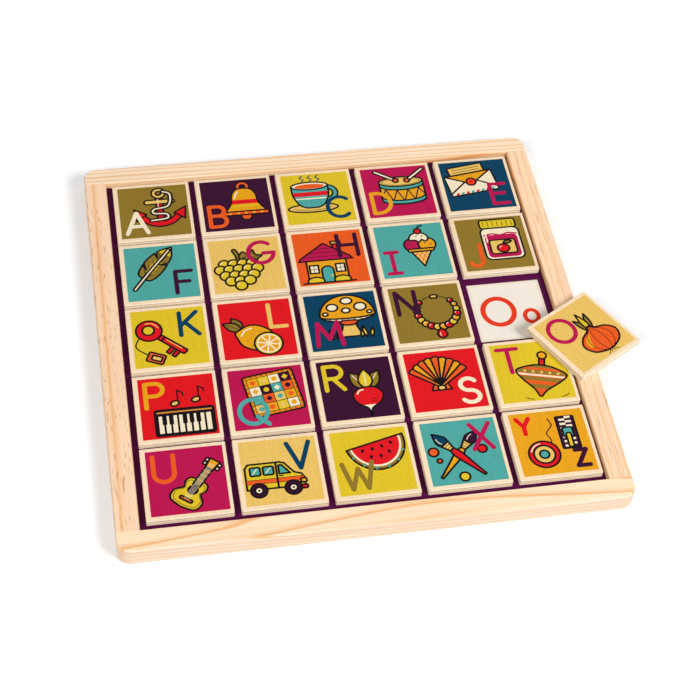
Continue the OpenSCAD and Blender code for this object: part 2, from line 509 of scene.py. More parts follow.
def draw_anchor(art):
    """Anchor with a rope round it."""
    art.bars([arc(0, 0, 11.2, 11.5, 205, 335), [(0, 8.6), (0, -11.4)]], "red", 3.2)
    for side in (-1, 1):
        art.shape([(side * 14, 0.4), (side * 7.4, -3.8), (side * 13, -8.6)], "red")
    art.bars([[(-6.6, 5), (6.6, 5)]], "sand", 2.6)
    art.bars([oval(0, 11.4, 2.6)], "sand", 1.5, True)
    rope = curve([(2.4, 12.5), (6.2, 10), (4.6, 1.6), (-3, -0.4), (-3.4, -3.4), (3.2, -4.4), (3.4, -7.6),
                  (-5, -8.6)])
    art.bars([rope], "cream", 1.1)
    art.line([(-0.7, 7), (-0.7, 1.4)], "cream", 0.5)


def draw_bell(art):
    """Hand bell with a loop and a clapper."""
    profile = curve([(0, 10.4), (4.2, 9.4), (6.8, 5.4), (8, -2), (12.4, -8.8)])
    art.bars([arc(0, 11.6, 2.7, 2.7, -30, 210)], "orange", 1.6)
    art.shape(oval(0, -11.6, 3), "orange")
    art.shape(mirrored(profile), "amber")
    art.fill(band(profile, 1.2, -2), "red")
    art.fill(band(profile, -3, -4), "lime")
    art.line(profile)
    art.line([(-x, y) for x, y in profile])
    art.shape(box(-13.2, -10.6, 13.2, -7.8, 1.3), "orange")
    art.line(curve([(-3.4, 7.6), (-4.9, 4.6), (-5.5, 2.6)]), "cream", 1.1)
    for x in (-9, -4.5, 0, 4.5, 9):
        art.fill(oval(x, -9.2, 0.7), "lime")


def draw_cup(art):
    """Cup of tea on its saucer."""
    art.shape(oval(0, -10.6, 14, 3.2), "sand")
    art.line(arc(0, -10.4, 10.4, 1.9, 180, 360), width=FINE)
    art.bars([arc(9, 0.4, 5, 4.8, 100, -110)], "teal", 2.1)
    side = curve([(10.4, 6.6), (10, -1), (7, -8), (3, -10.4)])
    art.shape(mirrored(side), "teal")
    art.fill(band(side, 1.8, -1.4), "red")
    art.fill(band(side, -2.8, -3.8), "cream")
    art.line(mirrored(side), closed=True)
    art.shape(oval(0, 6.6, 10.4, 2.9), "cream")
    art.fill(oval(0, 6.2, 8.4, 1.8), "orange")
    for x in (-4, 0.6, 5):
        art.line(curve([(x, 10.2), (x + 1.3, 11.6), (x - 0.6, 13), (x + 0.8, 14.6)]), "navy", 0.8)


def draw_drum(art):
    """Drum with two sticks."""
    art.shape([(-12, 5), *arc(0, -8.4, 12, 3.6, 180, 360), (12, 5)], "amber")
    cords = []
    for i in range(9):
        x = 3 * i - 12
        bulge = 3.6 * math.sqrt(max(0, 1 - (x / 12) ** 2))
        cords.append((x, (2 if i % 2 else -6) - bulge))
    art.line(cords, "plum", 0.9)
    for top in (5, -5.6):
        art.shape([*arc(0, top, 12, 3.6, 180, 360), *arc(0, top - 2.6, 12, 3.6, 360, 180)], "teal")
    art.shape(oval(0, 5, 12, 3.6), "sand")
    art.line(oval(0, 5, 10.4, 2.7), width=FINE, closed=True)
    for x, tip in ((-13, (-2.6, 6)), (13, (3.6, 5.6))):
        art.bars([[(x, 13.4), tip]], "cream", 1.2)
        art.shape(oval(*tip, 1.5), "orange")


def draw_envelope(art):
    """Letter in an envelope with a striped hem and a seal."""
    tilted = partial(moved, turn=8)
    art.shape(tilted(box(-11, -4, 11, 12.6, 0.6)), "sand")
    for y in (10.2, 8):
        art.line(tilted([(-8.4, y), (8.4, y)]), "olive", 0.7)
    art.shape(tilted(box(-15, -11, 15, 6, 1)), "cream")
    for i in range(8):
        x = 3.2 * i - 12.4
        stripe = [(x, -10.4), (x + 1.8, -10.4), (x + 2.6, -8.8), (x + 0.8, -8.8)]
        art.fill(tilted(stripe), "teal" if i % 2 else "red")
    for side in (-1, 1):
        art.line(tilted([(side * 14.4, -8.4), (side * 3.4, -0.6)]))
    art.shape(tilted([(-14.4, 5.8), (-1, -2.6), (1, -2.6), (14.4, 5.8)]), "amber")
    art.shape(tilted(oval(0, -1.4, 3)), "red")
    art.line(tilted(oval(0, -1.4, 1.7)), "orange", 0.6, True)


def draw_feather(art):
    """Feather with a pale tip and three splits."""
    tilted = partial(moved, turn=52)
    upper = [*curve([(-9, 0), (-7.6, 4), (-1.4, 5.6)]), (-3.4, 2.2),
             *curve([(-0.2, 5.7), (4, 5.6), (8, 4.8)]), (6.2, 2),
             *curve([(9.4, 4.3), (12.4, 2.8), (16, 0)])]
    lower = [*curve([(16, 0), (11, -3.4), (6.4, -4.6)])[1:], (3, -1.8),
             *curve([(5, -4.9), (-2, -5.2), (-8, -3.6), (-9, 0)])[:-1]]
    tip = 10
    art.shape(tilted(upper + lower), "olive")
    end = [point for point in upper + lower if point[0] > tip]
    art.fill(tilted([(tip, 3.8), *end, (tip, -3.5)]), "lime")
    art.fill(tilted(leaf(-8.4, 0, 20, 1.9, 0)), "lime")
    for x in (-6.4, -2.6, 1.2, 7):
        art.line(tilted([(x, 0.6), (x + 2.4, 3)]), width=FINE)
    for x in (-6.4, -2.8, 0, 4.4, 8):
        art.line(tilted([(x, -0.6), (x + 2.2, -2.8)]), width=FINE)
    art.line(tilted(upper + lower), closed=True)
    art.bars([tilted([(-17, -0.4), (-4, 0), (13.4, 0)])], "cream", 0.9)


def draw_grapes(art):
    """Bunch of grapes with a leaf."""
    art.bars([curve([(0, 4), (0.4, 9), (-1.4, 14)])], "olive", 1.3)
    lobes = [(1, 8), (3, 12.6), (6, 10.8), (9, 13.6), (10.4, 10), (14, 9), (11, 6.2), (11.6, 3), (6, 4.4)]
    art.shape(curve(lobes, True), "olive")
    for tip in ((9, 12), (12.4, 8.6), (10.4, 4.4)):
        art.line([(2.4, 7.8), tip], width=FINE)
    for y, many in ((4, 4), (0, 5), (-4.4, 4), (-8.6, 3), (-12.2, 1)):
        for i in range(many):
            x = (i - (many - 1) / 2) * 5.2
            art.shape(oval(x, y, 3.3), "lime")
            art.line(arc(x, y, 2.1, 2.1, 110, 165), "cream", 0.6)


def draw_house(art):
    """House with a chimney and two bushes."""
    art.shape(box(4.6, 4, 8.2, 13), "red")
    art.shape(box(4, 12, 8.8, 13.8), "sand")
    art.shape(box(-10, -13, 10, 3), "amber")
    art.shape([(-13.6, 1.6), (-12.4, 3.6), (0, 13), (12.4, 3.6), (13.6, 1.6)], "magenta")
    for y in (4.2, 6.8, 9.4):
        half = (13 - y) * 1.25
        art.line([(-half, y), (half, y)], width=FINE)
    art.shape([(-3, -13), (3, -13), *arc(0, -5.4, 3, 3, 0, 180)], "teal")
    art.fill(oval(1.8, -8.6, 0.6), "lime")
    for x in (-6.6, 6.6):
        art.shape(box(x - 2.2, -6.6, x + 2.2, -1.4), "cream")
        art.line([(x, -6.6), (x, -1.4)], width=FINE)
        art.line([(x - 2.2, -4), (x + 2.2, -4)], width=FINE)
        bush = curve([(-4, -13), (-3.6, -10.4), (0, -9.2), (3.6, -10.4), (4, -13)])
        art.shape(moved(bush, x), "lime")
    art.line([(-13, -13), (13, -13)])


def draw_ice_cream(art):
    """Cone with three scoops and a cherry."""
    half, top, tip = 7.4, -1.4, -16
    cone = [(-half, top), (half, top), (0, tip)]
    art.shape(cone, "sand")
    for share in (0.2, 0.4, 0.6, 0.8):
        for side in (-1, 1):
            foot = (side * half * share, tip + (top - tip) * share)
            art.line([(side * half * (2 * share - 1), top), foot], "orange", 0.5)
    art.line(cone, closed=True)
    art.shape(oval(-4.6, 2.4, 5.6), "magenta")
    art.shape(oval(4.6, 2.4, 5.6), "amber")
    scoop = [(-6, 6.6), (-5, 10.6), (0, 13), (5, 10.6), (6, 6.6)]
    drips = [(3.6, 5.2), (2, 6.6), (0, 4.6), (-2.4, 6.4)]
    art.shape(curve(scoop + drips, True), "cream")
    art.shape(box(-8.4, -3.4, 8.4, -1, 1.1), "amber")
    art.shape(oval(0.4, 14, 2.2), "red")
    art.line(curve([(0.6, 16), (1.6, 18), (4, 18.6)]))
    for x, y in ((-6.4, 4), (-3, 1), (3, 3.4), (6.6, 1.6), (-1.6, 9.4), (2, 9)):
        art.line([(x, y), (x + 0.9, y + 0.8)], "navy", 0.6)


def draw_jar(art):
    """Jam jar with a label."""
    art.shape(box(-9.6, -13.6, 9.6, 7, 3), "cream")
    art.fill(box(-8.2, -12.4, 8.2, 2.4, 2.4), "magenta")
    art.line(curve([(-8.2, 2.4), (-4, 3.2), (0, 2.2), (4, 3.2), (8.2, 2.4)]), "magenta", 1.2)
    art.shape(box(-9, 7, 9, 12.6, 1.3), "lime")
    for i in range(7):
        art.line([(2.4 * i - 7.2, 8.2), (2.4 * i - 7.2, 11.4)], width=FINE)
    art.shape(box(-6.4, -10, 6.4, -1, 1.4), "sand")
    art.line(curve([(0, -4.4), (0.3, -3), (1, -2)]), width=0.7)
    art.shape(leaf(0.4, -3, 4.4, 1, 10), "olive")
    art.shape(oval(-0.2, -6.6, 3, 2.6), "red")
    art.line(arc(-0.2, -6.6, 1.8, 1.5, 110, 165), "cream", 0.5)
    art.line([(-7.2, 5), (-7.2, -2)], "cream", 0.9)


def draw_key(art):
    """Door key with a tag."""
    tilted = partial(moved, dy=1, turn=-42)
    hung = partial(moved, dx=-4, dy=-11.4, turn=-24)
    art.line(curve([(-10.5, 4), (-13.5, -3), (-9, -8), (-6.5, -9)]), width=0.9)
    art.shape(hung(box(-4.4, -3, 4.4, 3, 0.9)), "orange")
    art.shape(hung(box(-2.2, -1.4, 3, 1.4, 0.5)), "sand")
    for x in (7, 10.4):
        art.shape(tilted(box(x, -5.8, x + 2.2, -0.6, 0.4)), "red")
    art.shape(tilted(box(-3, -1.6, 15, 1.6, 0.8)), "red")
    art.shape(tilted(oval(-8.4, 0, 6.6)), "red")
    art.shape(tilted(oval(-8.8, 0, 3)), "lime")
    art.line(tilted(arc(-8.4, 0, 4.9, 4.9, 60, 150)), "sand", 0.7)
    for x in (-1.6, 0.6):
        art.line(tilted([(x, -1.5), (x, 1.5)]))
    art.line(tilted([(2.4, 0.6), (12, 0.6)]), "sand", 0.6)


def draw_lemon(art):
    """Lemon with leaves and a cut slice."""
    for turn, size in ((118, 11), (150, 12)):
        art.shape(leaf(-8, 5, size, 3, turn), "olive")
        art.line(moved([(1, 0), (size - 2, 0)], -8, 5, turn), width=FINE)
    body = [(13.4, -5), (10.6, -2), (8, 3.4), (2, 7.6), (-4, 8.2), (-9, 5.6), (-12, 3), (-11, -1),
            (-8.4, -6.4), (-2, -10), (5, -10), (10, -6.8)]
    art.shape(curve(body, True), "amber")
    art.line(curve([(-8.6, 1), (-6.4, 4.6), (-2.6, 6)]), "cream", 1)
    for x, y in ((-6, -3), (-3.4, -6.4), (-1.6, -2.4), (1.4, 3.4), (-3, 1.6)):
        art.line([(x, y), (x + 0.7, y - 0.2)], "olive", 0.6)
    art.shape(oval(6, -6, 8), "lime")
    art.fill(oval(6, -6, 6.8), "cream")
    for i in range(8):
        turn = 45 * i + 10
        art.fill(moved([(1.2, 0), *arc(0, 0, 6, 6, -18, 18)], 6, -6, turn), "amber")


def draw_mushroom(art):
    """Spotted mushroom in the grass."""
    stalk = curve([(3.6, 1), (3.2, -5), (4.4, -9.4), (6, -12.6)])
    art.shape(mirrored(stalk), "sand")
    art.shape(oval(0, 0.2, 12.8, 3.4), "cream")
    for i in range(9):
        turn = math.radians(200 + 17.5 * i)
        rim = (12 * math.cos(turn), 0.2 + 3 * math.sin(turn))
        art.line([(3.6 * math.cos(turn), -0.4), rim], width=FINE)
    cap = [*arc(0, 0.6, 13.4, 12.6, 0, 180), *arc(0, 0.6, 13.4, 2, 180, 360)[1:-1]]
    art.shape(cap, "amber")
    for x, y, rx, ry in ((-6.8, 6, 2.7, 2.2), (0.6, 9.6, 2.8, 2), (6.8, 5.4, 2.9, 2.4), (-0.4, 3.6, 2, 1.5),
                         (-10.6, 2.2, 1.3, 1), (10.8, 1.8, 1.2, 0.9)):
        art.shape(oval(x, y, rx, ry), "cream")
    ring = curve([(-4.2, -4), (-2, -5.4), (2, -5.4), (4.2, -4), (3.2, -2.8), (-3.2, -2.8)], True)
    art.shape(ring, "orange")
    blades = ((-9, 100, 6), (-7, 75, 7.4), (-5, 105, 5), (5, 80, 5.4), (7.4, 102, 7), (9.6, 78, 5.4))
    for x, turn, size in blades:
        art.shape(leaf(x, -13.6, size, 0.9, turn), "lime")


def draw_necklace(art):
    """Necklace of round beads with a drop."""
    art.line(oval(0, 3, 11.6), width=0.6, closed=True)
    inks = ("red", "lime", "amber")
    for i in range(16):
        turn = math.radians(141 + 17.2 * i)
        x, y = 11.6 * math.cos(turn), 3 + 11.6 * math.sin(turn)
        size = 1.5 + 0.9 * math.sin(math.pi * (i + 0.5) / 16)
        art.shape(oval(x, y, size), inks[i % 3])
        art.line(arc(x, y, size * 0.55, size * 0.55, 100, 170), "cream", 0.45)
    drop = mirrored(curve([(0, -9.6), (2, -12), (2.8, -14.2), (1.6, -16.2), (0, -16.8)]))
    art.shape(drop, "red")
    art.line(curve([(-0.9, -12.8), (-1.4, -14.2), (-0.9, -15.2)]), "cream", 0.5)
    art.shape(box(-2, 12.9, 2, 15.3, 0.8), "sand")


def draw_onion(art):
    """Onion with fresh shoots."""
    for turn, size, ink in ((70, 13, "olive"), (110, 12.4, "olive"), (90, 14.4, "lime")):
        art.shape(leaf(0, 3, size, 1.7, turn), ink)
    for x in (-2, -0.7, 0.7, 2):
        art.line(curve([(x * 0.5, -11.6), (x, -13.2), (x * 1.8, -14.4)]), width=0.5)
    half = curve([(1.2, 6.8), (3, 4.4), (8.6, 1.8), (12, -3), (9.6, -8.8), (4, -11.6), (0, -12.2)])
    art.shape(mirrored([(0, 6.8), *half]), "orange")
    art.fill(curve([(-9.6, -3), (-7, 0.8), (-3.4, 2.2), (-6, -1.4), (-7, -5.6), (-8.4, -6)], True), "amber")
    for share in (-0.62, -0.24, 0.24, 0.62):
        art.line([(x * share, y) for x, y in half], width=FINE)
    art.line(mirrored([(0, 6.8), *half]), closed=True)


def draw_piano(art):
    """Row of piano keys under two notes."""
    art.shape(box(-14.4, -13, 14.4, 2.6, 1.4), "plum")
    for i in range(8):
        x = 3.3 * i - 13.2
        art.shape(box(x, -12, x + 3.3, -0.6, 0.4), "cream")
    for i in (0, 1, 3, 4, 5):
        x = 3.3 * i - 9.9
        art.fill(box(x - 1.1, -6.4, x + 1.1, -0.4), "black")
    art.line([(-13.2, 1), (13.2, 1)], "amber", 0.8)
    for x, y in ((-4, 6), (6.4, 7.4)):
        art.line([(x + 1.5, y), (x + 1.5, y + 8), (x + 4, y + 6.4), (x + 4.2, y + 4.6)], "black", 0.9)
        art.shape(moved(oval(0, 0, 2.1, 1.5), x, y, 20), "sand")


def draw_quilt(art):
    """Patchwork quilt with stitched edges."""
    tilted = partial(moved, turn=9)
    inks = ("sand", "plum", "amber", "teal", "lime", "orange", "cream")
    marks = (oval(0, 0, 1.5), [(0, -1.8), (1.8, 0), (0, 1.8), (-1.8, 0)])
    art.shape(tilted(box(-14, -14, 14, 14, 1.6)), "amber")
    for row in range(4):
        for column in range(4):
            number = 3 * row + 2 * column
            x, y = 6 * column - 12, 6 * row - 12
            art.fill(tilted(box(x, y, x + 6, y + 6)), inks[number % 7])
            mark = marks[0] if (row + column) % 2 else marks[1]
            art.fill(tilted(moved(mark, x + 3, y + 3)), inks[(number + 3) % 7])
    for i in range(5):
        at = 6 * i - 12
        art.line(tilted([(at, -12), (at, 12)]), width=FINE)
        art.line(tilted([(-12, at), (12, at)]), width=FINE)
    for i in range(9):
        at = 3 * i - 12
        for x, y in ((at, -13), (at, 13), (-13, at), (13, at)):
            reach = (0.7, 0) if abs(y) == 13 else (0, 0.7)
            art.line(tilted([(x - reach[0], y - reach[1]), (x + reach[0], y + reach[1])]), "red", 0.5)


def draw_radish(art):
    """Radish with three leaves."""
    for turn, size, ink in ((56, 15, "olive"), (124, 15, "olive"), (90, 14, "lime")):
        art.shape(leaf(0, 2, size, 4, turn), ink)
        art.line(moved([(0, 0), (size - 3, 0)], 0, 2, turn), "cream", 0.6)
    half = curve([(0, 3.4), (5, 2.6), (8.4, -2), (6.4, -7.4), (1.6, -11), (0.5, -13.4), (0, -16.4)])
    art.shape(mirrored(half), "red")
    art.fill(band(half, -9, -16), "cream")
    art.line(mirrored(half), closed=True)
    art.line(curve([(-5.8, -1), (-4.6, 1), (-2.4, 1.6)]), "cream", 1)
    for y in (-5.4, -7):
        art.line([(1.4, y), (4.2, y + 0.4)], width=FINE)


def draw_shell(art):
    """Fan shell with ribs."""
    art.shape([(-6, -12.6), (6, -12.6), (4, -7), (-4, -7)], "orange")
    ribs = 9
    first, spread, reach = 33, 114, 22
    outline = [(1.2, -10)]
    for i in range(ribs):
        for share in (0.08, 0.3, 0.5, 0.7, 0.92):
            turn = math.radians(first + spread * (i + share) / ribs)
            far = reach + 0.9 * math.sin(math.pi * share) - 2.4 * abs(i + share - ribs / 2) / ribs
            outline.append((far * math.cos(turn), -10 + far * math.sin(turn)))
    outline.append((-1.2, -10))
    art.shape(outline, "amber")
    for i in range(0, ribs, 2):
        wedge = outline[1 + 5 * i:6 + 5 * i]
        art.fill([(0, -9.4)] + [(x * 0.96, -10 + (y + 10) * 0.96) for x, y in wedge], "orange")
    for i in range(1, ribs):
        art.line([(0, -9), outline[1 + 5 * i]])
    art.line(outline, closed=True)
    art.shape(oval(0, -11, 2.4, 1.8), "sand")


def draw_top(art):
    """Spinning top with painted rings."""
    tilted = partial(moved, turn=-14)
    profile = curve([(0, 6.6), (5, 6), (12, 3), (13.2, 0.4), (9.4, -4.2), (3.4, -9.6), (0.6, -14)])
    art.bars([tilted([(0, 6), (0, 12)])], "red", 2.2)
    art.shape(tilted(oval(0, 13.2, 2.4)), "amber")
    art.shape(tilted(mirrored(profile)), "orange")
    for high, low in ((6.1, 4.6), (3, 0.6), (-1.6, -4), (-6.4, -9)):
        art.fill(tilted(band(profile, high, low)), "olive")
    art.fill(tilted(band(profile, 0.2, -1)), "cream")
    art.line(tilted(mirrored(profile)), closed=True)
    for i in range(5):
        art.fill(tilted(oval(4.4 * i - 8.8, 1.8, 0.8)), "sand")
    for side in (-1, 1):
        art.line(arc(side * 3, -12.6, 9, 3, 270 + side * 30, 270 + side * 70), width=0.5)


def draw_ukulele(art):
    """Small guitar with four strings."""
    tilted = partial(moved, dx=1, turn=-38)
    art.shape(tilted([(-2, 8.6), (-2.8, 14.6), (2.8, 14.6), (2, 8.6)]), "amber")
    for side in (-1, 1):
        for y in (10.8, 13):
            art.shape(tilted(oval(side * 3.5, y, 1)), "cream")
    body = curve([(0, 1), (4.6, 0.2), (5.8, -3), (4.8, -6), (8, -10), (6.8, -15), (0, -16.6)])
    art.shape(tilted(mirrored(body)), "lime")
    art.line(tilted(moved(mirrored(body), 0, -1.3, 0, 0.84)), "olive", 0.6, True)
    art.shape(tilted(box(-1.9, -2.6, 1.9, 9)), "olive")
    art.shape(tilted(oval(0, -5.6, 2.3)), "plum")
    art.shape(tilted(box(-3.4, -12.6, 3.4, -11, 0.6)), "orange")
    for y in (1, 4, 7):
        art.line(tilted([(-1.7, y), (1.7, y)]), "sand", 0.4)
    for x in (-1.2, -0.4, 0.4, 1.2):
        art.line(tilted([(x, -11.6), (x, 12)]), "cream", 0.2)


def draw_van(art):
    """Delivery van, from the side."""
    body = [(-14, -7.4), (-14, 5), (-12.4, 7.4), (3.4, 7.4), (5.4, 6.6), (9.6, 0.8), (13, -0.4),
            (14.2, -2.6), (14.2, -7.4)]
    art.shape(body, "lime")
    art.fill([(-13.7, -4.2), (-13.7, -1.8), (14, -1.8), (14.1, -4.2)], "orange")
    art.line([(-14, -1.8), (13.8, -1.8)], width=FINE)
    art.line([(-14, -4.2), (14.2, -4.2)], width=FINE)
    art.shape([(2.4, 0.6), (2.4, 5.6), (4, 5.6), (7.6, 0.6)], "teal")
    for x in (-11.6, -5.2):
        art.shape(box(x, 0.6, x + 5, 5.4, 0.8), "teal")
        art.line([(x + 1.2, 1.8), (x + 3.4, 4.4)], "cream", 0.6)
    art.line([(1.2, 7.4), (1.2, -7.4)])
    art.line([(2.4, -0.6), (4, -0.6)], width=0.8)
    art.shape(box(12.2, -5.6, 15, -3.2, 0.8), "amber")
    art.shape(box(10.6, -9, 15.2, -7, 0.8), "red")
    for x in (-8.4, 8.2):
        art.shape(oval(x, -8, 4), "plum")
        art.shape(oval(x, -8, 1.9), "cream")
        art.fill(oval(x, -8, 0.6), "black")


def draw_watermelon(art):
    """Slice of watermelon."""
    tilted = partial(moved, dy=5, turn=14)
    tall = 1.12

    def slice_of(reach):
        """Outline of a slice, with its cut side on top."""
        return tilted(arc(0, 0, reach, reach * tall, 180, 360))

    art.shape(slice_of(14.6), "olive")
    art.fill(slice_of(13), "cream")
    art.fill(slice_of(12), "red")
    art.line(slice_of(14.6), closed=True)
    seeds = ((-7, -3, -110), (-2.4, -3.4, -95), (2.4, -3.4, -85), (7, -3, -70),
             (-4.4, -7.6, -105), (0, -8.6, -90), (4.4, -7.6, -75))
    for x, y, turn in seeds:
        art.fill(tilted(leaf(x, y + 1.2, 2.6, 0.8, turn)), "black")
    for turn in (200, 225, 250, 275, 300, 325):
        rind = [arc(0, 0, reach, reach * tall, turn, turn)[0] for reach in (13.2, 14.4)]
        art.line(tilted(rind), "teal", 0.9)


def draw_brushes(art):
    """Two crossed paint brushes over drops of paint."""
    for x, y, size, ink in ((-11.6, 2.6, 2.4, "orange"), (11.6, 2, 2.2, "red"), (0.4, -12.6, 2.4, "lime"),
                            (-9.6, -2.6, 1.2, "orange")):
        art.shape(oval(x, y, size), ink)
    for turn, handle, tip_ink in ((-40, "amber", "plum"), (40, "red", "navy")):
        tilted = partial(moved, turn=turn)
        grip = curve([(1.1, 4.6), (1.9, 0), (1.2, -8), (0.5, -16)])
        art.shape(tilted(mirrored(grip)), handle)
        tip = curve([(0, 16.6), (1.6, 14), (2.8, 11), (2.2, 8.4)])
        art.shape(tilted(mirrored(tip)), tip_ink)
        art.line(tilted(curve([(-0.9, 13.4), (-1.3, 11.4), (-1, 9.6)])), "cream", 0.5)
        art.shape(tilted([(-2.3, 8.6), (2.3, 8.6), (1.2, 4.2), (-1.2, 4.2)]), "sand")
        for y in (5.6, 7.2):
            art.line(tilted([(-1.4, y), (1.4, y)]), width=FINE)


def draw_yoyo_and_zip(art):
    """Yo-yo on its string, and a zip fastener."""
    art.line(curve([(-7.6, -7), (-1.8, 0.4), (-3.4, 6), (0.4, 11), (-0.8, 15.6)]), "plum", 0.8)
    for size, ink in ((8.6, "red"), (5.8, "sand"), (2.6, "teal")):
        art.shape(oval(-7.6, -7.4, size), ink)
    art.line(arc(-7.6, -7.4, 7.2, 7.2, 100, 160), "cream", 0.8)
    art.shape(box(3.6, -5, 13.6, 16.2, 0.6), "plum")
    for i in range(7):
        y = 2.9 * i - 4
        art.fill(box(5.2, y, 8.6, y + 1.4), "cream")
        art.fill(box(8.6, y + 1.45, 12, y + 2.85), "cream")
    art.shape(box(5.8, 2.2, 11.4, 8.8, 1.4), "teal")
    art.bars([[(8.6, 3.8), (8.6, -3)]], "lime", 1.8)


# What each tile carries: its ground, its letter's ink and corner, and its picture
TILE_ART = {
    "A": ("olive", "cream", (-1, -1), draw_anchor),
    "B": ("plum", "orange", (-1, -1), draw_bell),
    "C": ("lime", "navy", (1, -1), draw_cup),
    "D": ("magenta", "amber", (-1, -1), draw_drum),
    "E": ("navy", "magenta", (1, -1), draw_envelope),
    "F": ("teal", "plum", (1, -1), draw_feather),
    "G": ("sand", "magenta", (1, 1), draw_grapes),
    "H": ("orange", "plum", (1, 1), draw_house),
    "I": ("teal", "magenta", (-1, -1), draw_ice_cream),
    "J": ("olive", "orange", (-1, -1), draw_jar),
    "K": ("lime", "navy", (1, 1), draw_key),
    "L": ("red", "sand", (1, 1), draw_lemon),
    "M": ("navy", "magenta", (-1, -1), draw_mushroom),
    "N": ("olive", "plum", (-1, 1), draw_necklace),
    "O": ("sand", "magenta", (-1, 1), draw_onion),
    "P": ("red", "amber", (-1, 1), draw_piano),
    "Q": ("magenta", "teal", (-1, -1), draw_quilt),
    "R": ("plum", "lime", (-1, 1), draw_radish),
    "S": ("red", "cream", (1, -1), draw_shell),
    "T": ("lime", "magenta", (-1, 1), draw_top),
    "U": ("magenta", "orange", (-1, 1), draw_ukulele),
    "V": ("sand", "navy", (1, 1), draw_van),
    "W": ("lime", "olive", (-1, -1), draw_watermelon),
    "X": ("teal", "magenta", (1, 1), draw_brushes),
    "YZ": ("amber", "red", (-1, 1), draw_yoyo_and_zip),
}


# Materials

# Distance from one ring to the next in Blender's wave texture, at a scale of 1
WAVE_PERIOD = math.pi / 10
# How far the growth rings are drawn out along a rail, and the length in which they rise and fall once
RING_STRETCH = 0.08
SWEEP_LENGTH = 0.36
# How dark the wood is from the start of a growth ring, at 0, to its end, at 1
RING_TONES = [(0.0, 0.1), (0.1, 0.0), (0.6, 0.08), (0.82, 0.4), (0.93, 1.0), (1.0, 0.5)]
# Pattern of the pine, per metre along and across the wood: its fibres and its broad bands, and then how
# closely its flecks lie across, and the levels of their noise between which a fleck comes up
FIBRES = (18, 900)
BANDS = (6, 130)
FLECKS_ACROSS = 1500
FLECK_LEVELS = (0.7, 0.8)
# The two glue lines of a tile, their half width, the width in which they fade and how far they wander, all
# as shares of the tile's thickness, and the level above which its bare face begins
GLUE_LINES = (0.265, 0.725)
GLUE_HALF = 0.025
GLUE_FADE = 0.02
GLUE_WANDER = 0.08
FACE_LEVEL = 0.96
# Width of the darker rim of a place on the floor, and its tones from the edge, at 0, inwards
RIM_WIDTH = 0.0022
RIM_TONES = [(0.0, (0.93, 0.89, 0.84, 1)), (0.75, (0.95, 0.92, 0.88, 1)), (0.95, (1, 1, 1, 1))]
# What a piece of pine has unless it says otherwise
PLAIN_GRAIN = {"slope": 0.0, "sweep": 0.0, "phase": 0.0, "flecks": 0.0, "inner": (0, 0, 0), "outer": 0.0}
# Grain of each piece of pine: the setting that holds its colour, the axis that it runs along, its pith,
# the width of a growth ring, how much the rings waver and how closely, their slope in degrees, how far they
# rise and fall and where that starts, and how dark their lines are. Then the strength and the length of its
# flecks, the direction that its inner wall faces, where the wall gets a painted shade, and how much of the
# painted shade tone darkens its outer face.
GRAIN = {
    "front_rail": {
        **PLAIN_GRAIN, "pale": "front_pine", "axis": "X", "pith": (0.0, -0.124, -0.051), "ring": 0.0031,
        "waver": 2.6, "bends": 0.7, "slope": -1.0, "sweep": 0.002, "phase": 1.1, "depth": 1.0,
        "inner": (0, 1, 0), "outer": 0.5},
    "back_rail": {
        **PLAIN_GRAIN, "pale": "back_pine", "axis": "X", "pith": (0.0, 0.203, -0.004), "ring": 0.0034,
        "waver": 4.5, "bends": 0.8, "slope": 0.5, "sweep": 0.0005, "phase": 1.0, "depth": 1.1,
        "inner": (0, -1, 0)},
    "left_rail": {
        **PLAIN_GRAIN, "pale": "left_pine", "axis": "Y", "pith": (-0.063, 0.0, 0.0), "ring": 0.0105,
        "waver": 1.0, "bends": 0.6, "slope": 0.2, "depth": 0.9, "flecks": 0.75, "fleck_length": 0.006,
        "inner": (1, 0, 0)},
    "right_rail": {
        **PLAIN_GRAIN, "pale": "right_pine", "axis": "Y", "pith": (0.193, 0.0, -0.01), "ring": 0.0045,
        "waver": 4.0, "bends": 0.6, "slope": 0.6, "sweep": 0.001, "depth": 0.7, "flecks": 0.55,
        "fleck_length": 0.02, "inner": (-1, 0, 0)},
    "corner_dowels": {
        **PLAIN_GRAIN, "pale": "dowel", "axis": "Y", "pith": (0.0, 0.0, -0.02), "ring": 0.0015,
        "waver": 1.0, "bends": 0.4, "depth": 0.6},
}


def linear(shown):
    """A screen colour as the linear colour that shaders take."""
    return tuple(c / 12.92 if c <= 0.04045 else ((c + 0.055) / 1.055) ** 2.4 for c in shown) + (1.0,)


def blend(first, second, share):
    """A colour between two others."""
    return tuple(a + (b - a) * share for a, b in zip(first, second))


def grey(value):
    """A grey of the given strength."""
    return (value, value, value, 1.0)


def lengthwise(axis, along, across):
    """A scale for a pattern that differs along an axis and across it."""
    return tuple(along if name == axis else across for name in "XYZ")


class Nodes:
    """A tree of nodes. An input given as a socket is linked, and any other value is set."""
    family = ""

    def __init__(self, tree):
        self.tree = tree

    def feed(self, node, inputs):
        """Sets or links a node's inputs."""
        for key, value in inputs.items():
            if isinstance(value, bpy.types.NodeSocket):
                self.tree.links.new(value, node.inputs[key])
            else:
                node.inputs[key].default_value = value

    def add(self, kind, inputs, output=0, **settings):
        """A new node's output."""
        node = self.tree.nodes.new(self.family + kind)
        for key, value in settings.items():
            setattr(node, key, value)
        self.feed(node, inputs)
        return node.outputs[output]


